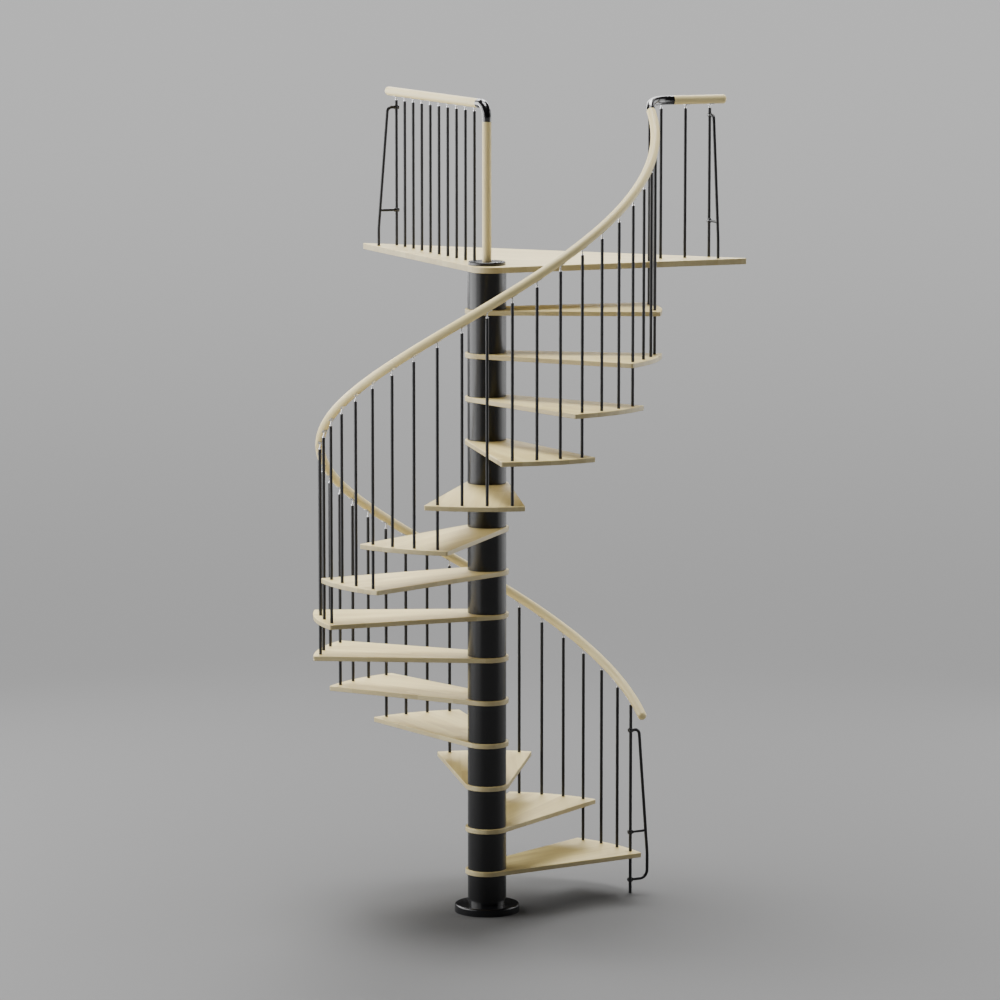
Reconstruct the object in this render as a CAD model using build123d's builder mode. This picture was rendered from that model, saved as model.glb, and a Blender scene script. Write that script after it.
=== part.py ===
from build123d import *
from math import acos, cos, degrees, radians, sin
import os

os.makedirs("parts", exist_ok=True)

# Spiral staircase: a black steel column, fourteen beech treads and a three-cornered beech landing
# board, black steel balusters and a round beech handrail with black elbows.
# Millimetres, +Z up. The origin is on the floor, at the centre of the base flange's underside.
# The landing's long edge, which meets the upper floor, lies along X on the +Y side.
# The flight climbs counterclockwise seen from above. Angles are degrees from +X.

# Flight
rise = 220.0
tread_count = 14
step_angle = 25.0

# Treads
tread_radius = 878.0
tread_half_angle = 16.4
tread_thickness = 24.0
tread_hub_radius = 110.0
tread_corner_radius = 10.0
tread_edge_round = 3.0

# Column
pole_radius = 30.0
pole_bore_clearance = 0.3
spacer_radius = 98.0
spacer_wall = 5.0
flange_radius = 165.0
flange_height = 40.0
flange_rim_round = 9.0
collar_radius = 92.0
collar_height = 26.0
pole_foot_height = 10.0
cap_radius = 94.0
cap_height = 18.0
cap_rim_round = 6.0
cap_socket_depth = 8.0

# Landing board
landing_thickness = 30.0
landing_leg_angle = 47.0
landing_margin_right = 160.0
landing_margin_left = 103.0
landing_tip_margin = 125.0
landing_edge_margin = 10.479
landing_overhang_right = 138.0
landing_overhang_left = 166.0
landing_tip_left = -1127.0
landing_near_corner_radius = 100.0
landing_corner_radius = 5.0
landing_edge_round = 1.5

# Balusters
baluster_radius = 8.0
baluster_inset = 35.0
baluster_bore_clearance = 0.3
balusters_per_tread = 3
baluster_top_height = 990.0
flight_lead = 3.7
last_baluster_lead = 8.25
landing_baluster_height = 759.0
left_baluster_count = 10
left_baluster_first = 165.0
left_baluster_spacing = 121.0
right_baluster_count = 3
right_baluster_lead = 109.0
right_baluster_spacing = 135.0

# Handrail
rail_radius = 23.0
rail_inset = 4.0
rail_height = 1043.0
rail_length_count = 5
rail_start_lead = 10.7
rail_end_lead = 11.2
rail_end_round = 16.0
landing_rail_height = 801.0
landing_rail_overhang_right = 89.0
landing_rail_overhang_left = 121.0
rail_elbow_reach = 179.5
newel_elbow_radius = 68.0
newel_elbow_straight = 19.0
landing_rail_left_start = 110.0
rail_elbow_start_handle = 100.0
rail_elbow_end_handle = 85.0

# Pins that carry the handrail on the balusters
pin_radius = 4.0
pin_seat_clearance = 0.2

# Braces beside the balustrades' end balusters
brace_radius = 8.0
brace_tie_radius = 7.0
brace_shoulder_reach = 49.0
brace_foot_reach = 101.0
right_brace_foot_reach = 112.0
brace_bend_radius = 25.0
brace_knee_radius = 300.0
brace_top_height = 722.0
brace_knee_height = 90.0
brace_tie_height = 185.0
lower_brace_top_height = 857.0
lower_brace_knee_height = 200.0
lower_brace_bottom_height = 71.0
lower_brace_tie_height = 322.0
lower_brace_bend_radius = 42.0
clamp_radius = 10.5
clamp_back = 13.0
clamp_front = 14.0
clamp_bore_clearance = 0.2

# Worked out from the sizes above
landing_top = rise * (tread_count + 1)
baluster_circle = tread_radius - baluster_inset
rail_circle = baluster_circle - rail_inset
left_places = [left_baluster_first + k * left_baluster_spacing for k in range(left_baluster_count)]
right_places = [baluster_circle + right_baluster_lead + k * right_baluster_spacing
                for k in range(right_baluster_count)]
landing_end_left = left_places[-1] + landing_overhang_left
landing_end_right = right_places[-1] + landing_overhang_right
landing_rail_left_end = left_places[-1] + landing_rail_overhang_left
landing_rail_right_start = rail_circle + rail_elbow_reach
landing_rail_right_end = right_places[-1] + landing_rail_overhang_right
collar_top = flange_height + collar_height
baluster_step = step_angle / balusters_per_tread
flight_baluster_count = tread_count * balusters_per_tread + 1
last_baluster_angle = landing_leg_angle - last_baluster_lead
first_baluster_angle = landing_leg_angle - flight_lead - (flight_baluster_count - 1) * baluster_step
right_leg = landing_leg_angle
left_leg = landing_leg_angle + 90
landing_rail_level = landing_top + landing_rail_height
pole_bore_radius = pole_radius + pole_bore_clearance
baluster_bore_radius = baluster_radius + baluster_bore_clearance
rail_start_angle = first_baluster_angle - rail_start_lead
rail_end_angle = right_leg - rail_end_lead
rail_pitch = rise * 360 / step_angle
rail_slope = rise / (rail_circle * radians(step_angle))


def polar(radius, angle, z=0.0):
    return Vector(radius * cos(radians(angle)), radius * sin(radians(angle)), z)


def baluster_angle(index):
    if index == flight_baluster_count - 1:
        return last_baluster_angle
    return first_baluster_angle + index * baluster_step


def tread_angle(number):
    return first_baluster_angle + (number - 0.5) * step_angle


def rail_level(angle):
    return rail_height + rise * (angle - first_baluster_angle) / step_angle


def upright_plane(point, angle):
    # Local x points outwards at the angle, local y points up.
    return Plane(
        origin=point,
        x_dir=(cos(radians(angle)), sin(radians(angle)), 0),
        z_dir=(sin(radians(angle)), -cos(radians(angle)), 0),
    )


def finish(part, name):
    part.label = name
    export_step(part, f"parts/{name}.step")


# Base flange: a disc with a rounded rim, and the collar that the column stands on
with BuildPart() as base_flange:
    with BuildSketch():
        Circle(flange_radius)
    extrude(amount=flange_height)
    fillet(base_flange.edges().group_by(Axis.Z)[-1], radius=flange_rim_round)
    with BuildSketch(Plane.XY.offset(flange_height)):
        Circle(collar_radius)
    extrude(amount=collar_height)
    with BuildSketch(Plane.XY.offset(pole_foot_height)):
        Circle(pole_bore_radius)
    extrude(amount=collar_top - pole_foot_height, mode=Mode.SUBTRACT)
finish(base_flange.part, "base_flange")


# Centre pole: hidden in the column, it threads every tread and draws the stack together
pole_top = landing_top + cap_socket_depth
with BuildPart() as centre_pole:
    with BuildSketch(Plane.XY.offset(pole_foot_height)):
        Circle(pole_radius)
    extrude(amount=pole_top - pole_foot_height)
finish(centre_pole.part, "centre_pole")


# Column spacers: one tube below each tread and one below the landing board
def spacer_span(number):
    bottom = collar_top if number == 1 else (number - 1) * rise
    board = tread_thickness if number <= tread_count else landing_thickness
    return bottom, number * rise - board


spacer_groups = {
    "column_spacers_lower": range(1, 6),
    "column_spacers_middle": range(6, 11),
    "column_spacers_upper": range(11, tread_count + 2),
}
for group_name, numbers in spacer_groups.items():
    with BuildPart() as column_spacers:
        for number in numbers:
            bottom, top = spacer_span(number)
            with BuildSketch(Plane.XY.offset(bottom)):
                Circle(spacer_radius)
                Circle(spacer_radius - spacer_wall, mode=Mode.SUBTRACT)
            extrude(amount=top - bottom)
    finish(column_spacers.part, group_name)


# Top cap: the disc that closes the column over the landing board
with BuildPart() as top_cap:
    with BuildSketch(Plane.XY.offset(landing_top)):
        Circle(cap_radius)
    extrude(amount=cap_height)
    fillet(top_cap.edges().group_by(Axis.Z)[-1], radius=cap_rim_round)
    with BuildSketch(Plane.XY.offset(landing_top)):
        Circle(pole_bore_radius)
    extrude(amount=cap_socket_depth, mode=Mode.SUBTRACT)
finish(top_cap.part, "top_cap")


# Treads: straight sides tangent to the hub circle, and an outer edge that is an arc about the
# column. A baluster passes through the bore at the front corner.
side_tangent_angle = degrees(acos(tread_hub_radius / tread_radius))
hub_end_angle = tread_half_angle + side_tangent_angle
corner_baluster_angle = -step_angle / 2


def make_tread(number):
    plane = Plane.XY.offset(number * rise - tread_thickness).rotated((0, 0, tread_angle(number)))
    front_corner = polar(tread_radius, -tread_half_angle)
    rear_corner = polar(tread_radius, tread_half_angle)
    front_hub = polar(tread_hub_radius, -hub_end_angle)
    rear_hub = polar(tread_hub_radius, hub_end_angle)
    with BuildPart() as tread:
        with BuildSketch(plane) as plan:
            with BuildLine():
                Line(front_hub, front_corner)
                ThreePointArc(front_corner, polar(tread_radius, 0), rear_corner)
                Line(rear_corner, rear_hub)
                ThreePointArc(rear_hub, polar(tread_hub_radius, 180), front_hub)
            make_face()
            corners = plan.vertices().filter_by(lambda v: Vector(v).length > tread_hub_radius + 1)
            fillet(corners, radius=tread_corner_radius)
            Circle(pole_bore_radius, mode=Mode.SUBTRACT)
            with Locations(polar(baluster_circle, corner_baluster_angle)):
                Circle(baluster_bore_radius, mode=Mode.SUBTRACT)
        extrude(amount=tread_thickness)
        flat_faces = tread.faces().filter_by(Axis.Z)
        rims = [face.outer_wire().edges() for face in flat_faces]
        fillet(rims[0] + rims[1], radius=tread_edge_round)
    return tread.part


for number in range(1, tread_count + 1):
    finish(make_tread(number), f"tread_{number:02d}")


# Landing board: two legs at about a right angle that meet round the column, and a long edge that
# closes the triangle a margin past the farther leg. Both narrow ends are cut blunt.
near_corner = polar(landing_margin_right, right_leg - 90) + polar(landing_margin_left, left_leg + 90)
near_right_end = polar(landing_margin_right, right_leg - 90) + polar(landing_end_right, right_leg)
near_left_end = polar(landing_tip_margin, left_leg + 90) + polar(landing_end_left, left_leg)
landing_long_edge = max(near_right_end.Y, near_left_end.Y) + landing_edge_margin
end_cut = (landing_long_edge - near_right_end.Y) / sin(radians(right_leg + 90))
far_right = near_right_end + polar(end_cut, right_leg + 90)
far_left = Vector(landing_tip_left, landing_long_edge, 0)
landing_corners = (near_corner, near_right_end, far_right, far_left, near_left_end)

with BuildPart() as landing_board:
    with BuildSketch(Plane.XY.offset(landing_top - landing_thickness)) as landing_plan:
        with BuildLine():
            Polyline(*landing_corners, close=True)
        make_face()
        far_corners = landing_plan.vertices().sort_by(lambda v: Vector(v).length)[1:]
        fillet(far_corners, radius=landing_corner_radius)
        near_vertex = landing_plan.vertices().sort_by(lambda v: Vector(v).length)[0]
        fillet(near_vertex, radius=landing_near_corner_radius)
        Circle(pole_bore_radius, mode=Mode.SUBTRACT)
        with Locations(polar(baluster_circle, last_baluster_angle)):
            Circle(baluster_bore_radius, mode=Mode.SUBTRACT)
    extrude(amount=landing_thickness)
    landing_rims = [face.outer_wire().edges() for face in landing_board.faces().filter_by(Axis.Z)]
    fillet(landing_rims[0] + landing_rims[1], radius=landing_edge_round)
finish(landing_board.part, "landing_board")


# Flight balusters: the one at each tread's front corner passes through it and ends on the tread
# below, the first one on the floor. The two behind it stand on the tread.
def baluster_foot(index):
    treads_below, place = divmod(index, balusters_per_tread)
    return rise * treads_below if place == 0 else rise * (treads_below + 1)


def baluster_top(index):
    return baluster_top_height + rail_level(baluster_angle(index)) - rail_height


baluster_groups = {
    "flight_balusters_1": range(0, 9),
    "flight_balusters_2": range(9, 18),
    "flight_balusters_3": range(18, 27),
    "flight_balusters_4": range(27, 36),
    "flight_balusters_5": range(36, flight_baluster_count),
}
for group_name, indices in baluster_groups.items():
    with BuildPart() as flight_balusters:
        for index in indices:
            foot = baluster_foot(index)
            with BuildSketch(Plane.XY.offset(foot)):
                with Locations(polar(baluster_circle, baluster_angle(index))):
                    Circle(baluster_radius)
            extrude(amount=baluster_top(index) - foot)
    finish(flight_balusters.part, group_name)


# Landing balusters: one straight row over each leg of the landing board
landing_rows = {"landing_balusters_left": (left_leg, left_places),
                "landing_balusters_right": (right_leg, right_places)}
for row_name, (leg, places) in landing_rows.items():
    with BuildPart() as landing_balusters:
        with BuildSketch(Plane.XY.offset(landing_top)):
            with Locations(*[polar(place, leg) for place in places]):
                Circle(baluster_radius)
        extrude(amount=landing_baluster_height)
    finish(landing_balusters.part, row_name)


# Helical handrail: equal lengths joined end to end, with a rounded lower end
length_angle = (rail_end_angle - rail_start_angle) / rail_length_count
length_helix = Helix(pitch=rail_pitch, height=rail_pitch * length_angle / 360, radius=rail_circle)

for number in range(1, rail_length_count + 1):
    start_angle = rail_start_angle + (number - 1) * length_angle
    centre_line = length_helix.moved(Location((0, 0, rail_level(start_angle)), (0, 0, start_angle)))
    with BuildPart() as handrail:
        with BuildSketch(Plane(origin=centre_line @ 0, z_dir=centre_line % 0)):
            Circle(rail_radius)
        sweep(path=centre_line, is_frenet=True)
        if number == 1:
            lower_end = handrail.faces().filter_by(GeomType.PLANE).sort_by(Axis.Z)[0]
            fillet(lower_end.edges(), radius=rail_end_round)
    finish(handrail.part, f"handrail_{number}")


# Newel post on the top cap, and the elbow that turns its top into the left landing rail
newel_top = landing_rail_level - newel_elbow_radius - newel_elbow_straight
newel_foot = landing_top + cap_height
with BuildPart() as newel_post:
    with BuildSketch(Plane.XY.offset(newel_foot)):
        Circle(rail_radius)
    extrude(amount=newel_top - newel_foot)
finish(newel_post.part, "newel_post")

with BuildPart() as newel_elbow:
    with BuildLine(upright_plane((0, 0, newel_top), left_leg)) as elbow_path:
        Line((0, 0), (0, newel_elbow_straight))
        JernArc(elbow_path.line @ 1, (0, 1), newel_elbow_radius, -90)
        Line(elbow_path.line @ 1, (landing_rail_left_start, newel_elbow_straight + newel_elbow_radius))
    with BuildSketch(Plane.XY.offset(newel_top)):
        Circle(rail_radius)
    sweep(path=elbow_path.line)
finish(newel_elbow.part, "newel_elbow")


# Landing rails: straight round bars with a rounded outer end
landing_rails = {"landing_rail_left": (left_leg, landing_rail_left_start, landing_rail_left_end),
                 "landing_rail_right": (right_leg, landing_rail_right_start, landing_rail_right_end)}
for rail_name, (leg, start, end) in landing_rails.items():
    start_plane = Plane(origin=polar(start, leg, landing_rail_level), z_dir=polar(1, leg))
    with BuildPart() as landing_rail:
        with BuildSketch(start_plane):
            Circle(rail_radius)
        extrude(amount=end - start)
        outer_face = landing_rail.faces().filter_by(GeomType.PLANE).sort_by(
            lambda face: face.center().length)[-1]
        fillet(outer_face.edges(), radius=rail_end_round)
    finish(landing_rail.part, rail_name)


# Rail elbow: it leads the top of the helical handrail round to the right landing rail
elbow_start = polar(rail_circle, rail_end_angle, rail_level(rail_end_angle))
elbow_start_direction = (polar(1, rail_end_angle + 90) + Vector(0, 0, rail_slope)).normalized()
elbow_end = polar(landing_rail_right_start, right_leg, landing_rail_level)
elbow_end_direction = polar(1, right_leg)


def sweep_rail_elbow(radius):
    with BuildPart() as tube:
        with BuildLine() as path:
            Bezier(elbow_start, elbow_start + elbow_start_direction * rail_elbow_start_handle,
                   elbow_end - elbow_end_direction * rail_elbow_end_handle, elbow_end)
        with BuildSketch(Plane(origin=elbow_start, z_dir=elbow_start_direction)):
            Circle(radius)
        sweep(path=path.line)
    return tube.part


finish(sweep_rail_elbow(rail_radius), "rail_elbow_right")


# Pins: short stems from the balusters' tops to the underside of the rail above
def make_pin(point, height):
    with BuildPart() as pin:
        with BuildSketch(Plane(origin=point)):
            Circle(pin_radius)
        extrude(amount=height)
    return pin.part


def under_rail_plane(point, angle):
    # Under the rail and along its slope; its normal points up at the rail.
    return Plane(origin=point, z_dir=Vector(0, 0, 1) - polar(rail_slope, angle + 90))


def make_flight_pin(index):
    angle = baluster_angle(index)
    seat = polar(baluster_circle, angle, rail_level(angle) - rail_drop)
    stem = make_pin(polar(baluster_circle, angle, baluster_top(index)), 2 * rail_radius)
    with BuildPart() as pin:
        add(stem)
        split(bisect_by=under_rail_plane(seat, angle), keep=Keep.BOTTOM)
    return pin.part


def make_elbow_pin(foot):
    stem = make_pin(foot, rail_radius + landing_rail_level - foot.Z)
    elbow_room = sweep_rail_elbow(rail_radius + pin_seat_clearance)
    with BuildPart() as pin:
        add(stem)
        add(elbow_room, mode=Mode.SUBTRACT)
    return pin.part.solids().sort_by(Axis.Z)[0]


rail_drop = rail_radius * (1 + rail_slope ** 2) ** 0.5 + pin_seat_clearance
last_baluster = flight_baluster_count - 1
last_pin_foot = polar(baluster_circle, last_baluster_angle, baluster_top(last_baluster))
flight_pins = [make_flight_pin(index) for index in range(last_baluster)]
flight_pins.append(make_elbow_pin(last_pin_foot))
with BuildPart() as rail_pins_flight:
    add(flight_pins)
finish(rail_pins_flight.part, "rail_pins_flight")

landing_pin_foot = landing_top + landing_baluster_height
landing_pin_height = landing_rail_height - landing_baluster_height - rail_radius - pin_seat_clearance
level_pin_points = [polar(place, left_leg) for place in left_places]
level_pin_points += [polar(place, right_leg) for place in right_places[1:]]
right_elbow_pin = make_elbow_pin(polar(right_places[0], right_leg, landing_pin_foot))
with BuildPart() as rail_pins_landing:
    with BuildSketch(Plane.XY.offset(landing_pin_foot)):
        with Locations(*level_pin_points):
            Circle(pin_radius)
    extrude(amount=landing_pin_height)
    add(right_elbow_pin)
finish(rail_pins_landing.part, "rail_pins_landing")


# Braces: a bent rod beside an end baluster, outside the balustrade, with a level tie to it
def make_brace(foot, outward, points, bend_radii, tie_height, tie_end):
    plane = upright_plane(foot, outward)
    with BuildPart() as brace:
        with BuildLine(plane) as route:
            FilletPolyline(*points, radius=bend_radii)
        with BuildSketch(Plane(origin=route.line @ 0, z_dir=route.line % 0)):
            Circle(brace_radius)
        sweep(path=route.line)
        tie_start = foot + polar(clamp_front, outward, tie_height)
        with BuildSketch(Plane(origin=tie_start, z_dir=polar(1, outward))):
            Circle(brace_tie_radius)
        extrude(amount=tie_end - clamp_front)
    return brace.part


def reach_at(height, top_height, knee_height, foot_reach):
    # Distance of the brace's straight stretch from the baluster at a height.
    share = (top_height - height) / (top_height - knee_height)
    return brace_shoulder_reach + share * (foot_reach - brace_shoulder_reach)


left_brace_foot = polar(left_places[-1], left_leg, landing_top)
right_brace_foot = polar(right_places[-1], right_leg, landing_top)
landing_braces = {"brace_left": (left_brace_foot, left_leg + 90, brace_foot_reach),
                  "brace_right": (right_brace_foot, right_leg - 90, right_brace_foot_reach)}
for brace_name, (foot, outward, foot_reach) in landing_braces.items():
    brace_points = [(clamp_front, brace_top_height), (brace_shoulder_reach, brace_top_height),
                    (foot_reach, brace_knee_height), (foot_reach, 0)]
    bends = [brace_bend_radius, brace_knee_radius]
    tie_end = reach_at(brace_tie_height, brace_top_height, brace_knee_height, foot_reach)
    brace_part = make_brace(foot, outward, brace_points, bends, brace_tie_height, tie_end)
    finish(brace_part, brace_name)

lower_brace_foot = polar(baluster_circle, first_baluster_angle)
lower_brace_points = [(clamp_front, lower_brace_top_height),
                      (brace_shoulder_reach, lower_brace_top_height),
                      (brace_foot_reach, lower_brace_knee_height),
                      (brace_foot_reach, lower_brace_bottom_height),
                      (clamp_front, lower_brace_bottom_height)]
lower_bends = [brace_bend_radius, brace_knee_radius, lower_brace_bend_radius]
lower_tie_end = reach_at(lower_brace_tie_height, lower_brace_top_height, lower_brace_knee_height,
                         brace_foot_reach)
brace_lower = make_brace(lower_brace_foot, first_baluster_angle, lower_brace_points, lower_bends,
                         lower_brace_tie_height, lower_tie_end)
finish(brace_lower, "brace_lower")


# Clamps: short round blocks that hold the braces and their ties on the balusters
clamp_places = [(foot, outward, height) for foot, outward, _ in landing_braces.values()
                for height in (brace_top_height, brace_tie_height)]
clamp_places += [(lower_brace_foot, first_baluster_angle, height)
                 for height in (lower_brace_top_height, lower_brace_tie_height,
                                lower_brace_bottom_height)]
with BuildPart() as brace_clamps:
    for foot, outward, height in clamp_places:
        back = foot + polar(-clamp_back, outward, height)
        with BuildSketch(Plane(origin=back, z_dir=polar(1, outward))):
            Circle(clamp_radius)
        extrude(amount=clamp_back + clamp_front)
    for foot, outward, height in clamp_places:
        with BuildSketch(Plane(origin=foot + Vector(0, 0, height - clamp_radius))):
            Circle(baluster_radius + clamp_bore_clearance)
        extrude(amount=2 * clamp_radius, mode=Mode.SUBTRACT)
finish(brace_clamps.part, "brace_clamps")
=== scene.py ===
# %% [markdown]
# # A spiral staircase in beech and black steel
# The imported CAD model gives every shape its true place, in metres. This lesson keeps those
# shapes, gives each a finish made of nodes, models the small hardware that CAD only stands in
# for, and sets the studio round it.

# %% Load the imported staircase
import math

import bmesh
import bpy
from mathutils import Matrix, Vector


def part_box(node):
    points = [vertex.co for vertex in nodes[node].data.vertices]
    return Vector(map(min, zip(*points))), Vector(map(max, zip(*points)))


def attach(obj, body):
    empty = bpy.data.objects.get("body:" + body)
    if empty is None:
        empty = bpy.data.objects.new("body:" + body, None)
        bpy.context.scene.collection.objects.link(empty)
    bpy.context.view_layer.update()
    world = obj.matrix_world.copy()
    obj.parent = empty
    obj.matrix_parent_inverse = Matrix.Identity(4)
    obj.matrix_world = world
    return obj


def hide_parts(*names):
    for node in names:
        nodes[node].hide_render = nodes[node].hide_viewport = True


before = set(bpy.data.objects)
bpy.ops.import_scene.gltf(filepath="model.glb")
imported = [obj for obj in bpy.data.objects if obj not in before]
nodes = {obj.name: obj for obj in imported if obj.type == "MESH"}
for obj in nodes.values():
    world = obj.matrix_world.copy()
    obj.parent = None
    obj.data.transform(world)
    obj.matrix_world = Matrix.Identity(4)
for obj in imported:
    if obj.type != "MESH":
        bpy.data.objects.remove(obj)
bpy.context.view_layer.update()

# %% [markdown]
# ## Camera
# A long lens far away keeps the column upright and the treads in near-true proportion. It looks
# slightly down, so the tops of all treads show. It is placed by its bearing round the column, its
# distance and its height.

# %% Camera
CAMERA_BEARING = math.radians(24.874)
CAMERA_DISTANCE = 23.6186
CAMERA_HEIGHT = 5.4218
CAMERA_TILT = math.radians(82.023)
CAMERA_HEADING = math.radians(24.714)
LENS = 170.47
SENSOR_WIDTH = 36.0
FARTHEST_SEEN = 2000.0

camera_data = bpy.data.cameras.new("camera")
camera_data.lens = LENS
camera_data.sensor_width = SENSOR_WIDTH
camera_data.clip_end = FARTHEST_SEEN
camera = bpy.data.objects.new("camera", camera_data)
bpy.context.scene.collection.objects.link(camera)
camera.location = (CAMERA_DISTANCE * math.sin(CAMERA_BEARING),
                   -CAMERA_DISTANCE * math.cos(CAMERA_BEARING), CAMERA_HEIGHT)
camera.rotation_euler = (CAMERA_TILT, 0.0, CAMERA_HEADING)
bpy.context.scene.camera = camera
print("camera at", tuple(round(v, 2) for v in camera.location))

# %% [markdown]
# ## Sizes
# The rise between treads and the angle between them are the two numbers that everything on the
# flight follows. Bearings turn about the column and grow as the stair climbs. The landing's right
# leg points along one bearing and its left leg a quarter turn on. The rods of the flight are
# counted back from the right leg. Levels that the CAD model already holds are read from its
# nodes' boxes.

# %% Sizes
RISE = 0.22
STEP_ANGLE = math.radians(25.0)
BALUSTERS_PER_TREAD = 3
FLIGHT_BALUSTERS = 43
BALUSTER_ANGLE = STEP_ANGLE / BALUSTERS_PER_TREAD
RIGHT_LEG = math.radians(47.0)
LEFT_LEG = RIGHT_LEG + math.pi / 2
FLIGHT_LEAD = math.radians(3.7)
LAST_LEAD = math.radians(8.25)
FIRST_BALUSTER = RIGHT_LEG - FLIGHT_LEAD - (FLIGHT_BALUSTERS - 1) * BALUSTER_ANGLE
LAST_BALUSTER = RIGHT_LEG - LAST_LEAD
BALUSTER_CIRCLE = 0.843
BALUSTER_TOP = 0.990
RAIL_RADIUS = 0.023
RAIL_CIRCLE = 0.839
RAIL_HEIGHT = 1.043
landing_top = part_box("landing_board")[1].z
landing_rail_level = sum(corner.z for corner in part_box("landing_rail_left")) / 2
print("landing top at", round(landing_top, 3), "and its rails at", round(landing_rail_level, 3))

# %% [markdown]
# ## Shader maths as Python
# A node tree is easier to read as arithmetic. `Wire` wraps one output socket, and sums, products
# and powers of wires add the Math nodes. `Finish` makes one material, and its `node` method makes
# any other node from its type, its settings and what goes into its sockets.

# %% Wire and Finish
class Wire:
    """One output socket of a finish's node tree, ready for arithmetic."""

    def __init__(self, finish, socket):
        self.finish = finish
        self.socket = socket

    def maths(self, operation, first, second=0.0):
        return self.finish.node("ShaderNodeMath", {"operation": operation}, {0: first, 1: second})

    def __add__(self, other):
        return self.maths("ADD", self, other)

    def __sub__(self, other):
        return self.maths("SUBTRACT", self, other)

    def __rsub__(self, other):
        return self.maths("SUBTRACT", other, self)

    def __mul__(self, other):
        return self.maths("MULTIPLY", self, other)

    def __truediv__(self, other):
        return self.maths("DIVIDE", self, other)

    def __pow__(self, other):
        return self.maths("POWER", self, other)

    __radd__ = __add__

    def floor(self):
        return self.maths("FLOOR", self)

    def exponent(self):
        return self.maths("EXPONENT", self)

    def wrap(self, low, high):
        settings = {"operation": "WRAP"}
        return self.finish.node("ShaderNodeMath", settings, {0: self, 1: high, 2: low})


class Finish:
    """One material. Values given by name are set on the shader's own sockets."""

    def __init__(self, name, **fixed):
        self.material = bpy.data.materials.new(name)
        self.material.use_nodes = True
        self.tree = self.material.node_tree
        self.shader = self.tree.nodes["Principled BSDF"]
        for socket_name, value in fixed.items():
            self.shader.inputs[socket_name.replace("_", " ")].default_value = value

    def node(self, kind, settings=None, inputs=None, output=0):
        """Makes any node and returns one of its outputs."""
        made = self.tree.nodes.new(kind)
        for key, value in (settings or {}).items():
            setattr(made, key, value)
        for key, value in (inputs or {}).items():
            self.feed(made.inputs[key], value)
        return Wire(self, made.outputs[output])

    def feed(self, socket, value):
        if isinstance(value, Wire):
            self.tree.links.new(value.socket, socket)
        else:
            socket.default_value = value

    def drive(self, **inputs):
        """Wires what varies into the shader's sockets."""
        for socket_name, value in inputs.items():
            self.feed(self.shader.inputs[socket_name.replace("_", " ")], value)

    def place(self, turn=0.0):
        """Object coordinates, turned about the vertical."""
        coordinates = self.node("ShaderNodeTexCoord", output="Object")
        return self.node("ShaderNodeMapping", {"vector_type": "TEXTURE"},
                         {"Vector": coordinates, "Rotation": (0.0, 0.0, turn)})

    def split(self, vector):
        made = self.tree.nodes.new("ShaderNodeSeparateXYZ")
        self.feed(made.inputs[0], vector)
        return [Wire(self, socket) for socket in made.outputs]

    def join(self, x, y, z):
        return self.node("ShaderNodeCombineXYZ", None, {0: x, 1: y, 2: z})

    def noise(self, vector, scale, detail, roughness):
        return self.node("ShaderNodeTexNoise", None, {
            "Vector": vector, "Scale": scale, "Detail": detail, "Roughness": roughness})

    def mix(self, factor, first, second):
        return self.node("ShaderNodeMix", {"data_type": "RGBA"}, {0: factor, 6: first, 7: second},
                         output=2)

    def bump(self, height, strength, distance):
        return self.node("ShaderNodeBump", None, {
            "Height": height, "Strength": strength, "Distance": distance})


print("shader maths ready")

# %% [markdown]
# ## Beech
# Stair treads of this kind are glued up from beech staves and lacquered satin. Three things carry
# the look: staves that differ a little in tone, long soft growth bands, and the short dark flecks
# that tell beech from other pale woods. The pattern is worked out in a space whose first axis
# runs along the grain, so one recipe serves the treads, the landing and the rails. Below its top
# face a board is painted a shade darker: painted shade on the edges, which the light reaches
# less than the top. A turned rail has no staves and no top face, and is a little paler.

# %% Beech colours
PALE_BOARD = (0.90, 0.755, 0.350, 1.0)
WARM_BOARD = (0.64, 0.49, 0.195, 1.0)
PALE_TURNED = (0.90, 0.775, 0.410, 1.0)
WARM_TURNED = (0.68, 0.54, 0.250, 1.0)
FLECK_BROWN = (0.40, 0.27, 0.12, 1.0)
print("pale boards", PALE_BOARD[:3], "and pale rails", PALE_TURNED[:3])

# %% Beech staves
STAVE_WIDTH = 0.048
STAVE_LENGTH = 0.62
STAVE_STAGGER = 0.9
CUT_STAVE_ALONG, CUT_STAVE_ACROSS = 1.7, 0.37


def stave_tone(finish, along, across):
    """A tone from 0 to 1 for the stave at a place, each row of staves shifted along the last."""
    row = (across / STAVE_WIDTH).floor()
    shift = finish.node("ShaderNodeTexWhiteNoise", {"noise_dimensions": "1D"}, {"W": row})
    column = ((along + shift * STAVE_STAGGER) / STAVE_LENGTH).floor()
    return finish.node("ShaderNodeTexWhiteNoise", {"noise_dimensions": "2D"},
                       {"Vector": finish.join(row, column, 0.0)})


print("staves are", 1000 * STAVE_WIDTH, "mm wide and", 1000 * STAVE_LENGTH, "mm long")

# %% Painted shade on board edges
# Painted shade: the factor that darkens a board's edges, standing in for the shade on them.
PAINTED_EDGE_SHADE = (0.64, 0.66, 0.80)
EDGE_DEPTH = 0.004


def paint_edge_shade(finish, wood, level, face_level):
    """Paints shade on the wood from the top face down to EDGE_DEPTH below it: painted shade on
    the edges.
    """
    below = finish.node("ShaderNodeMapRange", {"clamp": True}, {
        "Value": level, "From Min": face_level, "From Max": face_level - EDGE_DEPTH})
    painted_shade = finish.node("ShaderNodeVectorMath", {"operation": "MULTIPLY"},
                         {0: wood, 1: PAINTED_EDGE_SHADE})
    return finish.mix(below, wood, painted_shade)


print("a board darkens over its top", 1000 * EDGE_DEPTH, "mm")

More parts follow.
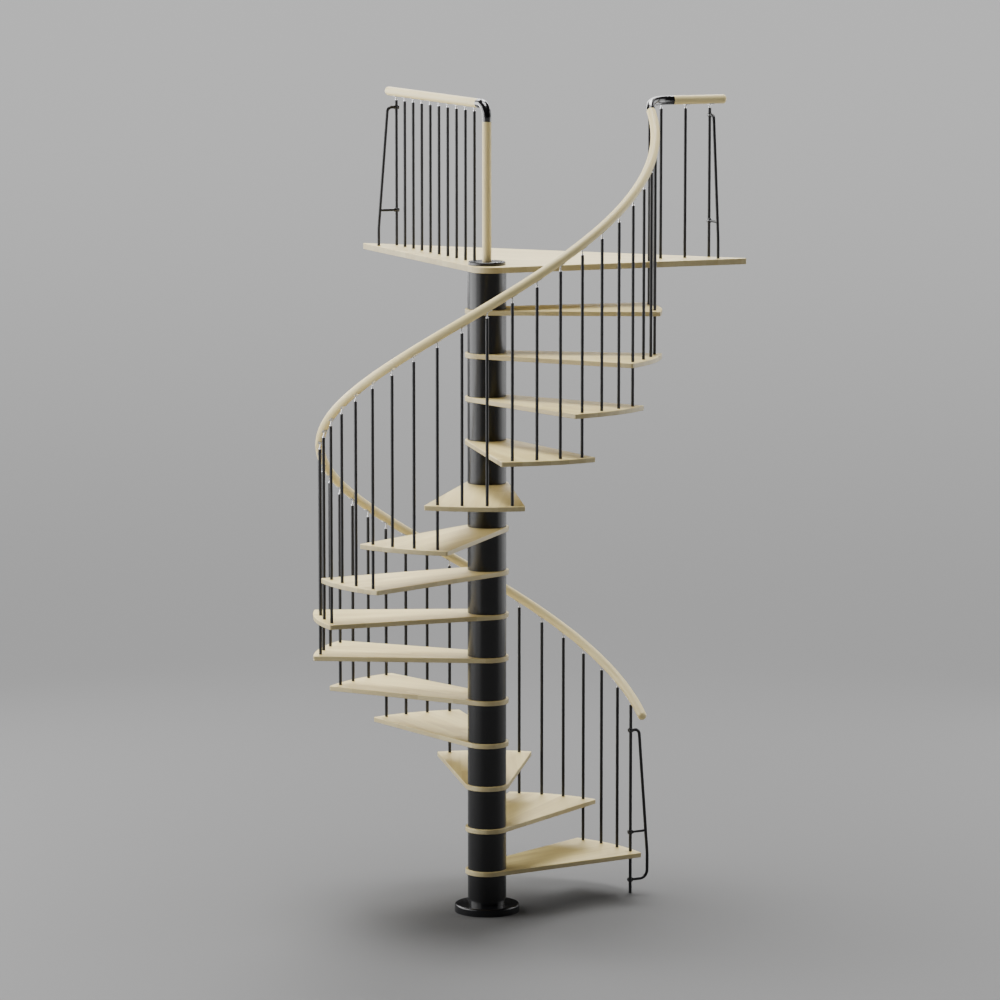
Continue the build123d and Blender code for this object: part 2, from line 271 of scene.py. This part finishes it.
# %% Beech grain and flecks
# Each pattern: repeats a metre along the grain, and across it.
BAND_REPEATS = (1.6, 26.0)
FIBRE_REPEATS = (14.0, 620.0)
CELL_REPEATS = (75.0, 430.0)
FLECK_RIM, FLECK_HEART = 0.20, 0.10
BAND_WARMTH, STAVE_WARMTH, FIBRE_WARMTH, WARMTH_SHIFT = 1.10, 0.44, 0.20, -0.46
FLECK_STRENGTH = 0.22
FLECK_HEIGHT = -0.5
WOOD_ROUGHNESS, FIBRE_ROUGHNESS, FLECK_ROUGHNESS = 0.40, 0.10, 0.08
GRAIN_STRENGTH, GRAIN_DEPTH = 0.16, 0.0004


def stretched(finish, along, across, through, repeats):
    """Grain coordinates scaled so that a pattern of unit size repeats as often as given."""
    return finish.join(along * repeats[0], across * repeats[1], through * repeats[1])


def beech(finish, along, across, through, face_level=None):
    """Drives a finish from grain coordinates in metres. A board gives its top face's level."""
    turned = face_level is None
    tone = 0.5
    if not turned:
        tone = stave_tone(finish, along, across)
        across = across + tone * CUT_STAVE_ACROSS
        along = along + tone * CUT_STAVE_ALONG
    place = (along, across, through)
    bands = finish.noise(stretched(finish, *place, BAND_REPEATS),
                         scale=1.0, detail=4.0, roughness=0.55)
    fibres = finish.noise(stretched(finish, *place, FIBRE_REPEATS),
                          scale=1.0, detail=2.0, roughness=0.6)
    cells = finish.node("ShaderNodeTexVoronoi", None, {
        "Vector": stretched(finish, *place, CELL_REPEATS), "Scale": 1.0})
    flecks = finish.node("ShaderNodeMapRange", {"clamp": True}, {
        "Value": cells, "From Min": FLECK_RIM, "From Max": FLECK_HEART})
    warmth = bands * BAND_WARMTH + tone * STAVE_WARMTH + fibres * FIBRE_WARMTH + WARMTH_SHIFT
    if turned:
        wood = finish.mix(warmth, PALE_TURNED, WARM_TURNED)
    else:
        board = finish.mix(warmth, PALE_BOARD, WARM_BOARD)
        # Painted shade on the board's edges below its top face.
        wood = paint_edge_shade(finish, board, through, face_level)
    finish.drive(
        Base_Color=finish.mix(flecks * FLECK_STRENGTH, wood, FLECK_BROWN),
        Roughness=WOOD_ROUGHNESS + fibres * FIBRE_ROUGHNESS + flecks * FLECK_ROUGHNESS,
        Normal=finish.bump(fibres + flecks * FLECK_HEIGHT, GRAIN_STRENGTH, GRAIN_DEPTH),
    )


print("beech recipe ready")


# %% Lacquer, and giving a finish to a node
def satin_lacquer(name):
    return Finish(name, Coat_Weight=0.12, Coat_Roughness=0.30, Specular_IOR_Level=0.32)


def give(node_name, finish):
    slots = nodes[node_name].data.materials
    slots.clear()
    slots.append(finish.material)


print("lacquer ready")

# %% Beech on the treads
TREAD_COUNT = 14
CUT_ALONG = 0.83
CUT_ACROSS = 0.31
for number in range(1, TREAD_COUNT + 1):
    tread_finish = satin_lacquer(f"beech_tread_{number:02d}")
    bearing = FIRST_BALUSTER + (number - 0.5) * STEP_ANGLE
    x, y, z = tread_finish.split(tread_finish.place(bearing))
    tread_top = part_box(f"tread_{number:02d}")[1].z
    beech(tread_finish, x + CUT_ALONG * number, y + CUT_ACROSS * number, z, tread_top)
    give(f"tread_{number:02d}", tread_finish)
print(TREAD_COUNT, "treads in beech, each with its grain along its length")

# %% Beech on the landing board
landing_finish = satin_lacquer("beech_landing")
x, y, z = landing_finish.split(landing_finish.place())
beech(landing_finish, x, y, z, landing_top)
give("landing_board", landing_finish)
print("landing board in beech")

# %% [markdown]
# ## Rails
# A handrail is turned from one long stave, so its grain follows its centre line. On the helical
# rail that line climbs as it turns: the distance from the axis and the height over the helix are
# the two cross-grain directions, and the height itself runs along the grain.

# %% Beech on the handrail
HANDRAIL_LENGTHS = 5
LENGTH_PER_CLIMB = 2.6
climb_per_turn = RISE * 2 * math.pi / STEP_ANGLE
climb_per_radian = RISE / STEP_ANGLE
helix_finish = satin_lacquer("beech_handrail")
x, y, z = helix_finish.split(helix_finish.place())
angle = helix_finish.node("ShaderNodeMath", {"operation": "ARCTAN2"}, {0: y, 1: x})
reach = (x * x + y * y) ** 0.5
start_level = RAIL_HEIGHT - climb_per_radian * FIRST_BALUSTER
over_helix = z - angle * climb_per_radian - start_level
over_helix = over_helix.wrap(-climb_per_turn / 2, climb_per_turn / 2)
beech(helix_finish, z * LENGTH_PER_CLIMB, reach - RAIL_CIRCLE, over_helix)
for number in range(1, HANDRAIL_LENGTHS + 1):
    give(f"handrail_{number}", helix_finish)
print("the handrail climbs", round(climb_per_turn, 3), "m a turn")


# %% Beech on the straight rails and the newel
def straight_rail(name, turn):
    """A turned beech finish whose grain runs along a bearing."""
    rail_finish = satin_lacquer(name)
    x, y, z = rail_finish.split(rail_finish.place(turn))
    beech(rail_finish, x, y, z)
    return rail_finish


give("landing_rail_left", straight_rail("beech_rail_left", LEFT_LEG))
give("landing_rail_right", straight_rail("beech_rail_right", RIGHT_LEG))

newel_finish = satin_lacquer("beech_newel")
x, y, z = newel_finish.split(newel_finish.place())
beech(newel_finish, z, x, y)
give("newel_post", newel_finish)
print("rails and newel in beech")

# %% [markdown]
# ## Black steel
# The column and the rods are powder coated: nearly black, satin, with the faint orange peel that
# the baked powder leaves. The flange and cap are glossier, and the elbows and knuckles glossiest,
# under a full or half clear coat. One recipe with different numbers makes them all. A little
# unevenness in the roughness keeps long highlights from looking computed.

# %% Black recipe
CLOUD_SCALE = 9.0
CLOUD_LIFT = 1.35
PEEL_SCALE = 900.0
PEEL_DEPTH = 0.0003


def black(name, colour, roughness, unevenness, peel, specular, coat=0.0, coat_roughness=0.08):
    """A near-black finish. `unevenness` varies its roughness and `peel` is its orange peel."""
    finish = Finish(name, Coat_Weight=coat, Coat_Roughness=coat_roughness,
                    Specular_IOR_Level=specular)
    spot = finish.place()
    cloud = finish.noise(spot, CLOUD_SCALE, detail=4.0, roughness=0.6)
    skin = finish.noise(spot, PEEL_SCALE, detail=1.0, roughness=0.5)
    lifted = tuple(CLOUD_LIFT * part for part in colour)
    finish.drive(
        Base_Color=finish.mix(cloud, (*colour, 1.0), (*lifted, 1.0)),
        Roughness=roughness + (cloud - 0.5) * unevenness,
        Normal=finish.bump(skin, peel, PEEL_DEPTH),
    )
    return finish


print("black recipe ready")

# %% Black on the column, rods, discs and elbows
SOFT_BLACK = (0.009, 0.009, 0.010)
CAST_BLACK = (0.006, 0.006, 0.007)
COLUMN_BLACK = (0.0045, 0.0045, 0.005)
ELBOW_BLACK = (0.004, 0.004, 0.0045)

column_black = black("powder_coated_column", COLUMN_BLACK, roughness=0.26, unevenness=0.06,
                     peel=0.02, specular=0.38)
rod_black = black("powder_coated_rods", SOFT_BLACK, roughness=0.35, unevenness=0.10,
                  peel=0.08, specular=0.35)
disc_black = black("gloss_discs", CAST_BLACK, roughness=0.24, unevenness=0.08,
                   peel=0.04, specular=0.4, coat=0.15)
knuckle_black = black("gloss_knuckles", CAST_BLACK, roughness=0.22, unevenness=0.10,
                      peel=0.04, specular=0.4, coat=0.5)
elbow_black = black("gloss_elbows", ELBOW_BLACK, roughness=0.22, unevenness=0.06,
                    peel=0.03, specular=0.2, coat=1.0, coat_roughness=0.15)

for group in ("lower", "middle", "upper"):
    give(f"column_spacers_{group}", column_black)
for name in list(nodes):
    if "balusters" in name or name.startswith("brace_"):
        give(name, rod_black)
for name in ("base_flange", "top_cap"):
    give(name, disc_black)
for name in ("newel_elbow", "rail_elbow_right"):
    give(name, elbow_black)
print("black finishes given")

# %% [markdown]
# ## Bright steel
# The clips under the rails and the pole inside the column are bare steel. A turned part is never
# a clean mirror: a faint haze dulls it in places, and the tool leaves very fine ridges.

# %% Bright steel
DULL_STEEL = (0.62, 0.62, 0.64, 1.0)
CLEAN_STEEL = (0.78, 0.78, 0.80, 1.0)
HAZE_SCALE = 140.0
RIDGE_SCALE = 1800.0
RIDGE_STRENGTH, RIDGE_DEPTH = 0.05, 0.0002
STEEL_ROUGHNESS, HAZE_ROUGHNESS = 0.22, 0.12

steel = Finish("bright_steel", Metallic=1.0)
steel_spot = steel.place()
haze = steel.noise(steel_spot, HAZE_SCALE, detail=3.0, roughness=0.6)
ridges = steel.noise(steel_spot, RIDGE_SCALE, detail=1.0, roughness=0.5)
steel.drive(
    Base_Color=steel.mix(haze, DULL_STEEL, CLEAN_STEEL),
    Roughness=STEEL_ROUGHNESS + haze * HAZE_ROUGHNESS,
    Normal=steel.bump(ridges, RIDGE_STRENGTH, RIDGE_DEPTH),
)
give("centre_pole", steel)
print("bright steel ready")

# %% [markdown]
# ## Working in edit mode
# A piece starts as a primitive, with its place frozen into its mesh and the object itself left at
# the origin, and is shaped by edit-mode operators. Each operator acts on what is selected, so the
# helpers below clear the selection and pick faces by where they look. A face counts as facing a
# direction when its normal's part along it is over FACING.

# %% Edit-mode helpers
FACING = 0.9
SMALLEST_GAP = 0.00001
SMOOTH_BELOW = math.radians(35.0)


def deselect():
    bpy.ops.object.select_all(action="DESELECT")


def begin(add_primitive, name, **settings):
    """Adds a primitive, freezes its place into its mesh and enters edit mode."""
    deselect()
    add_primitive(**settings)
    piece = bpy.context.object
    piece.name = name
    bpy.ops.object.transform_apply(location=True, rotation=True, scale=True)
    bpy.ops.object.mode_set(mode="EDIT")
    return piece


def pick_faces(piece, test):
    """Selects the faces whose normal passes a test."""
    bpy.ops.mesh.select_mode(type="FACE")
    bpy.ops.mesh.select_all(action="DESELECT")
    shell = bmesh.from_edit_mesh(piece.data)
    for face in shell.faces:
        face.select_set(test(face.normal))
    bmesh.update_edit_mesh(piece.data)


def extrude(offset):
    bpy.ops.mesh.extrude_region_move(TRANSFORM_OT_translate={"value": offset})


def end_edit():
    """Closes the piece: stray doubles merged, every face turned outwards."""
    bpy.ops.mesh.select_all(action="SELECT")
    bpy.ops.mesh.remove_doubles(threshold=SMALLEST_GAP)
    bpy.ops.mesh.normals_make_consistent(inside=False)
    bpy.ops.object.mode_set(mode="OBJECT")


def round_rims(piece, width, segments, sharper_than):
    """Rounds the edges that are sharper than an angle in degrees."""
    bpy.context.view_layer.objects.active = piece
    bevel = piece.modifiers.new("rims", "BEVEL")
    bevel.width = width
    bevel.segments = segments
    bevel.limit_method = "ANGLE"
    bevel.angle_limit = math.radians(sharper_than)
    bpy.ops.object.modifier_apply(modifier=bevel.name)


def join(pieces, name):
    """Joins pieces into one object and smooths its gentle edges."""
    deselect()
    for piece in pieces:
        piece.select_set(True)
    bpy.context.view_layer.objects.active = pieces[0]
    bpy.ops.object.join()
    joined = bpy.context.object
    joined.name = name
    joined.data.name = name
    bpy.ops.object.shade_smooth_by_angle(angle=SMOOTH_BELOW)
    return joined


def copy_to(master, places):
    """A copy of the master at each place, frozen into the copy's mesh."""
    copies = []
    for place in places:
        piece = bpy.data.objects.new(master.name, master.data.copy())
        bpy.context.scene.collection.objects.link(piece)
        piece.data.transform(place)
        copies.append(piece)
    return copies


def upright(point, bearing):
    """A place at a point, with its x axis level and pointing along the bearing."""
    return Matrix.Translation(point) @ Matrix.Rotation(bearing, 4, "Z")


def polar(radius, bearing, height):
    return Vector((radius * math.cos(bearing), radius * math.sin(bearing), height))


print("edit-mode helpers ready")

# %% [markdown]
# ## Rail clips
# On the real stair each rod carries the wooden rail on a small bright steel clip: a collar on the
# rod's end, a neck, and a saddle curved to the rail, held up by two socket screws. The CAD model
# has only a plain pin there. The saddle could be cut from a tube, but a short plate spun about
# the rail's centre line gives the same curve with fewer faces. Each clip is modelled round the
# rail's centre, with x along the rail. A level one serves both landing rails, where it leans a
# little along the rail, and a tilted one serves the helical rail.

# %% Clip neck
COLLAR_RADIUS = 0.0068
COLLAR_HEIGHT = 0.0045
COLLAR_SHOULDER = 0.0012
NECK_SIDES = 12
NECK_RADIUS = 0.0036
NECK_BENDS = 3


def make_neck(drop, across, lean, seat):
    """A collar on the rod's end, `drop` under the rail's centre, and a neck up to the seat."""
    neck = begin(bpy.ops.mesh.primitive_cylinder_add, "clip_neck", vertices=NECK_SIDES,
                 radius=COLLAR_RADIUS, depth=COLLAR_HEIGHT,
                 location=(0.0, across, COLLAR_HEIGHT / 2 - drop))
    pick_faces(neck, lambda normal: normal.z > FACING)
    bpy.ops.mesh.inset(thickness=COLLAR_SHOULDER)
    bpy.ops.transform.translate(value=(0.0, 0.0, COLLAR_SHOULDER))
    bpy.ops.mesh.inset(thickness=COLLAR_RADIUS - NECK_RADIUS - COLLAR_SHOULDER)
    climb = seat + drop - COLLAR_HEIGHT - COLLAR_SHOULDER
    for _ in range(NECK_BENDS):
        extrude((lean / NECK_BENDS, -across / NECK_BENDS, climb / NECK_BENDS))
    end_edit()
    return neck


print("clip necks are", 2000 * NECK_RADIUS, "mm thick")

# %% Clip screw
SADDLE_THICKNESS = 0.0022
SADDLE_GAP = 0.0002
SADDLE_FOOT = RAIL_RADIUS + SADDLE_GAP + SADDLE_THICKNESS
SCREW_REACH = 0.0105
SCREW_SIDES = 8
SCREW_RADIUS = 0.0026
SCREW_HEIGHT = 0.0014
SCREW_MARGIN = SCREW_RADIUS * 0.25
SCREW_DOME = SCREW_HEIGHT * 0.2
SCREW_SOCKET = SCREW_HEIGHT * 0.6


def make_screw(reach):
    """A screw head under the saddle, domed by a raised inset and socketed by a sunk one."""
    screw = begin(bpy.ops.mesh.primitive_cylinder_add, "clip_screw", vertices=SCREW_SIDES,
                  radius=SCREW_RADIUS, depth=SCREW_HEIGHT,
                  location=(reach, 0.0, -SADDLE_FOOT - SCREW_HEIGHT / 2))
    pick_faces(screw, lambda normal: normal.z < -FACING)
    bpy.ops.mesh.inset(thickness=SCREW_MARGIN)
    bpy.ops.transform.translate(value=(0.0, 0.0, -SCREW_DOME))
    bpy.ops.mesh.inset(thickness=SCREW_MARGIN)
    extrude((0.0, 0.0, SCREW_SOCKET))
    end_edit()
    return screw


print("saddles sit", round(1000 * SADDLE_FOOT, 1), "mm under the rail's centre")

# %% Clip saddle
SADDLE_LENGTH = 0.030
SADDLE_SPREAD = math.radians(62.0)
SADDLE_STEPS = 6
SADDLE_RIM = 0.0006


def make_saddle(slope, lean):
    """A plate curved under the rail, with two screws, tilted to the rail's slope."""
    middle = SADDLE_FOOT - SADDLE_THICKNESS / 2
    start = -SADDLE_SPREAD / 2
    corner = (0.0, middle * math.sin(start), -middle * math.cos(start))
    saddle = begin(bpy.ops.mesh.primitive_plane_add, "clip_saddle", size=SADDLE_LENGTH,
                   location=corner, rotation=(math.pi / 2 + start, 0.0, 0.0))
    bpy.ops.mesh.select_all(action="SELECT")
    flatten = SADDLE_THICKNESS / SADDLE_LENGTH
    bpy.ops.transform.resize(value=(1.0, flatten, flatten), center_override=corner)
    bpy.ops.mesh.delete(type="ONLY_FACE")
    bpy.ops.mesh.select_all(action="SELECT")
    bpy.ops.mesh.spin(steps=SADDLE_STEPS, angle=SADDLE_SPREAD, center=(0.0, 0.0, 0.0),
                      axis=(-1.0, 0.0, 0.0))
    bpy.ops.mesh.select_all(action="SELECT")
    bpy.ops.mesh.remove_doubles(threshold=SMALLEST_GAP)
    bpy.ops.mesh.fill_holes(sides=4)
    end_edit()
    reaches = [round(1000 * side(v.co.y for v in saddle.data.vertices), 2) for side in (min, max)]
    print("saddle reaches across", reaches, "mm")
    round_rims(saddle, SADDLE_RIM, segments=1, sharper_than=50.0)
    tilted = join([saddle, make_screw(-SCREW_REACH), make_screw(SCREW_REACH)], "clip_saddle")
    tilted.data.transform(Matrix.Translation((lean, 0.0, 0.0)) @ Matrix.Rotation(-slope, 4, "Y"))
    return tilted


print("saddles are", 1000 * SADDLE_LENGTH, "mm long")

# %% Tilted and level clips
NECK_SINK = SADDLE_THICKNESS * 0.4
LEVEL_LEAN = 0.006
rail_slope = math.atan(climb_per_radian / RAIL_CIRCLE)
landing_baluster_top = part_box("landing_balusters_left")[1].z


def make_clip(name, drop, across, lean, slope):
    """A whole clip. Its neck is sunk into the saddle, so the two meet without a gap."""
    seat = -(SADDLE_FOOT - NECK_SINK) / math.cos(slope)
    return join([make_neck(drop, across, lean, seat), make_saddle(slope, lean)], name)


tilted_clip = make_clip("tilted_clip", drop=RAIL_HEIGHT - BALUSTER_TOP,
                        across=RAIL_CIRCLE - BALUSTER_CIRCLE, lean=0.0, slope=rail_slope)
level_clip = make_clip("level_clip", drop=landing_rail_level - landing_baluster_top,
                       across=0.0, lean=LEVEL_LEAN, slope=0.0)
print("a tilted clip has", len(tilted_clip.data.polygons), "faces")

# %% Clips along the flight
STUB_SINK = 0.0008


def make_stub(foot, rail_node):
    """A collar and neck from a rod's end straight up into the casting over it."""
    _, place, _, _ = nodes[rail_node].ray_cast(foot, Vector((0.0, 0.0, 1.0)))
    stub = make_neck(0.0, 0.0, 0.0, place.z - foot.z + STUB_SINK)
    stub.data.transform(Matrix.Translation(foot))
    return stub


def climbed(bearing):
    """How far the flight has climbed from its first rod to a bearing."""
    return climb_per_radian * (bearing - FIRST_BALUSTER)


flight_places = []
for index in range(FLIGHT_BALUSTERS - 1):
    bearing = FIRST_BALUSTER + index * BALUSTER_ANGLE
    rail_centre = polar(RAIL_CIRCLE, bearing, RAIL_HEIGHT + climbed(bearing))
    flight_places.append(upright(rail_centre, bearing + math.pi / 2))
last_rod_end = polar(BALUSTER_CIRCLE, LAST_BALUSTER, BALUSTER_TOP + climbed(LAST_BALUSTER))
last_stub = make_stub(last_rod_end, "rail_elbow_right")
flight_clips = join([last_stub] + copy_to(tilted_clip, flight_places), "rail_clips_flight")
print(len(flight_places) + 1, "clips on the flight")

# %% Clips along the landing
LEFT_ROW_START, LEFT_ROW_STEP, LEFT_ROW_COUNT = 0.165, 0.121, 10
RIGHT_ROW_START, RIGHT_ROW_STEP, RIGHT_ROW_COUNT = 0.952, 0.135, 3
left_row = [LEFT_ROW_START + k * LEFT_ROW_STEP for k in range(LEFT_ROW_COUNT)]
right_row = [RIGHT_ROW_START + k * RIGHT_ROW_STEP for k in range(RIGHT_ROW_COUNT)]

landing_places = [upright(polar(reach, leg, landing_rail_level), leg)
                  for leg, row in ((LEFT_LEG, left_row), (RIGHT_LEG, right_row[1:]))
                  for reach in row]
elbow_stub = make_stub(polar(right_row[0], RIGHT_LEG, landing_baluster_top), "rail_elbow_right")
landing_clips = join([elbow_stub] + copy_to(level_clip, landing_places), "rail_clips_landing")
print(len(landing_places) + 1, "clips on the landing")

# %% Clips stand for the CAD pins
for clips, node in ((flight_clips, "rail_pins_flight"), (landing_clips, "rail_pins_landing")):
    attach(clips, "root")
    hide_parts(node)
    clips.data.materials.append(steel.material)
for master in (tilted_clip, level_clip):
    bpy.data.objects.remove(master)
print("the flight's clips have", len(flight_clips.data.polygons), "faces")

# %% [markdown]
# ## Brace clamps
# Each brace is held to its rod by a small cast knuckle: a round barrel that points at the brace,
# with a sleeve that the rod passes through and a socket screw at the back that grips it. The
# barrel's rims are rounded by the casting, which is what catches the light, so a bevel modifier
# rounds them.

# %% Knuckle barrel
BARREL_RADIUS = 0.0105
BARREL_BACK = 0.0130
BARREL_FRONT = 0.0140
KNUCKLE_SIDES = 20
NOSE_MARGIN, NOSE_LENGTH = 0.0016, 0.0022
RECESS_MARGIN, RECESS_DEPTH = 0.0050, 0.0025
HEAD_MARGIN, HEAD_RISE = 0.0012, 0.0016
KEY_MARGIN, KEY_DEPTH = 0.0016, 0.0020


def step(margin, forward):
    """Insets the selected face and extrudes the smaller one forward, towards the nose."""
    bpy.ops.mesh.inset(thickness=margin)
    extrude((forward, 0.0, 0.0))


def make_barrel():
    """The barrel, with a nose where the brace enters and a recessed screw at its back."""
    barrel = begin(bpy.ops.mesh.primitive_cylinder_add, "knuckle_barrel", vertices=KNUCKLE_SIDES,
                   radius=BARREL_RADIUS, depth=BARREL_BACK + BARREL_FRONT,
                   rotation=(0.0, math.pi / 2, 0.0),
                   location=((BARREL_FRONT - BARREL_BACK) / 2, 0.0, 0.0))
    pick_faces(barrel, lambda normal: normal.x > FACING)
    step(NOSE_MARGIN, NOSE_LENGTH)
    pick_faces(barrel, lambda normal: normal.x < -FACING)
    step(RECESS_MARGIN, RECESS_DEPTH)
    step(HEAD_MARGIN, -HEAD_RISE)
    step(KEY_MARGIN, KEY_DEPTH)
    end_edit()
    return barrel


print("barrels are", 2000 * BARREL_RADIUS, "mm thick")

# %% Knuckle sleeve
SLEEVE_RADIUS = 0.0112
SLEEVE_HEIGHT = 0.0200
SLEEVE_MARGIN = 0.0014
SLEEVE_STRETCH = 1.12
KNUCKLE_RIM = 0.0005


def make_sleeve():
    """The sleeve round the rod, each end raised a little inside its margin."""
    sleeve = begin(bpy.ops.mesh.primitive_cylinder_add, "knuckle_sleeve", vertices=KNUCKLE_SIDES,
                   radius=SLEEVE_RADIUS, depth=SLEEVE_HEIGHT)
    pick_faces(sleeve, lambda normal: abs(normal.z) > FACING)
    bpy.ops.mesh.inset(thickness=SLEEVE_MARGIN)
    bpy.ops.transform.resize(value=(1.0, 1.0, SLEEVE_STRETCH))
    end_edit()
    return sleeve


knuckle = join([make_barrel(), make_sleeve()], "knuckle")
round_rims(knuckle, KNUCKLE_RIM, segments=2, sharper_than=40.0)
print("a knuckle has", len(knuckle.data.polygons), "faces")

# %% Knuckles in their places
LANDING_HEIGHTS = (0.722, 0.185)
LOWER_HEIGHTS = (0.857, 0.322, 0.071)
quarter = math.pi / 2

# Each knuckle's place, and the bearing that its nose points along.
knuckle_spots = [(polar(left_row[-1], LEFT_LEG, landing_top + height), LEFT_LEG + quarter)
                 for height in LANDING_HEIGHTS]
knuckle_spots += [(polar(right_row[-1], RIGHT_LEG, landing_top + height), RIGHT_LEG - quarter)
                  for height in LANDING_HEIGHTS]
knuckle_spots += [(polar(BALUSTER_CIRCLE, FIRST_BALUSTER, height), FIRST_BALUSTER)
                  for height in LOWER_HEIGHTS]
knuckle_places = [upright(point, bearing) for point, bearing in knuckle_spots]
knuckles = join(copy_to(knuckle, knuckle_places), "brace_knuckles")
bpy.data.objects.remove(knuckle)
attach(knuckles, "root")
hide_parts("brace_clamps")
knuckles.data.materials.append(knuckle_black.material)
print(len(knuckle_places), "knuckles hold the braces")

# %% [markdown]
# ## Studio floor
# A pale floor runs far enough to fill the picture behind the stair. Its grey is painted darker
# near the column and fades lighter with distance: painted shade round the foot of the stair. A
# very fine speckle keeps it from looking computed.

# %% Floor
FLOOR_RADIUS = 400.0
FLOOR_SIDES = 96
# Painted shade: the floor's grey near the column, darker than FAR_GREY.
PAINTED_SHADE_GREY = 0.116
FAR_GREY = 0.285
FADE_LENGTH = 22.0
SPECKLE_SCALE = 60.0
SPECKLE_DEPTH = 0.004
FLOOR_ROUGHNESS, SPECKLE_ROUGHNESS = 0.8, 0.1

deselect()
bpy.ops.mesh.primitive_circle_add(vertices=FLOOR_SIDES, radius=FLOOR_RADIUS, fill_type="NGON")
floor = bpy.context.object
floor.name = "studio_floor"
floor_finish = Finish("studio_floor", Specular_IOR_Level=0.15)
spot = floor_finish.place()
x, y, z = floor_finish.split(spot)
reach = (x * x + y * y) ** 0.5
# Painted shade: how near the column a point is, which darkens the floor's grey.
shade_nearness = (reach / -FADE_LENGTH).exponent()
speckle = floor_finish.noise(spot, SPECKLE_SCALE, detail=3.0, roughness=0.6)
grey = FAR_GREY - shade_nearness * (FAR_GREY - PAINTED_SHADE_GREY) + (speckle - 0.5) * SPECKLE_DEPTH
floor_finish.drive(Base_Color=floor_finish.join(grey, grey, grey),
                   Roughness=FLOOR_ROUGHNESS + (speckle - 0.5) * SPECKLE_ROUGHNESS)
floor.data.materials.append(floor_finish.material)
print("floor reaches", FLOOR_RADIUS, "m")

# %% [markdown]
# ## Light
# Three soft suns stand for a large overhead diffuser that reaches down behind the stair: they
# give bright tops, dark fronts and a soft pool of shadow at the foot. Upright panels on the left
# light the left-hand faces and draw the long pale band on the black column, and weaker ones on
# the right draw its other edge. A high panel behind puts a highlight on the flange's rim and
# collar. Between them the surroundings stay dark, which keeps the black parts black. Bearings
# count from the camera's side of the column and are negative on its left. Radiance is easier to
# plan with than power, so each panel's power is worked out from its area.

# %% Lights
PANEL_DISTANCE = 7.0
SUN_DISTANCE = 10.0
# Each sun: name, bearing, tilt from overhead and spread (degrees), strength.
SUNS = (
    ("overhead_sun", 180.0, 0.0, 28.0, 3.10),
    ("left_back_sun", -135.0, 20.0, 26.0, 1.75),
    ("back_sun", 178.0, 45.0, 24.0, 2.05),
)
# Each panel: name, bearing (degrees), low edge, high edge and width (m), radiance.
PANELS = (
    ("left_panel", -93.0, 1.2, 6.5, 7.0, 6.2),
    ("left_low_panel", -90.0, 0.05, 1.5, 5.0, 2.2),
    ("left_front_panel", -54.0, 0.3, 4.0, 3.6, 2.2),
    ("high_back_panel", 180.0, 4.8, 8.2, 8.0, 3.4),
    ("left_back_panel", -142.0, 2.6, 5.6, 4.0, 4.5),
    ("right_strip", 100.0, 2.0, 4.0, 5.0, 2.35),
    ("right_low_panel", 86.0, 0.3, 2.0, 3.6, 1.3),
    ("right_panel", 110.0, 0.3, 6.8, 2.4, 2.3),
    ("right_back_panel", 135.0, 0.3, 6.8, 2.4, 1.7),
)


def aim(name, kind, bearing, distance, height, target):
    """A lamp at a bearing from the camera, turned to face a point on the column's axis."""
    lamp = bpy.data.lights.new(name, kind)
    lamp_object = bpy.data.objects.new(name, lamp)
    bpy.context.scene.collection.objects.link(lamp_object)
    turn = CAMERA_BEARING + math.radians(bearing)
    lamp_object.location = (distance * math.sin(turn), -distance * math.cos(turn), height)
    line = target - lamp_object.location
    lamp_object.rotation_euler = line.to_track_quat("-Z", "Y").to_euler()
    return lamp


for name, bearing, tilt, spread, strength in SUNS:
    away = SUN_DISTANCE * math.sin(math.radians(tilt))
    height = SUN_DISTANCE * math.cos(math.radians(tilt))
    sun = aim(name, "SUN", bearing, away, height, Vector((0.0, 0.0, 0.0)))
    sun.energy = strength
    sun.angle = math.radians(spread)

for name, bearing, low, high, width, radiance in PANELS:
    middle = (low + high) / 2
    panel = aim(name, "AREA", bearing, PANEL_DISTANCE, middle, Vector((0.0, 0.0, middle)))
    panel.shape = "RECTANGLE"
    panel.size = width
    panel.size_y = high - low
    panel.energy = radiance * math.pi * width * (high - low)

print(len(SUNS), "suns and", len(PANELS), "panels")

# %% Dim surroundings
SURROUNDINGS = (0.02, 0.02, 0.02, 1.0)
world = bpy.data.worlds.new("studio")
bpy.context.scene.world = world
world.use_nodes = True
world.node_tree.nodes["Background"].inputs["Color"].default_value = SURROUNDINGS
print("surroundings at", SURROUNDINGS[0])
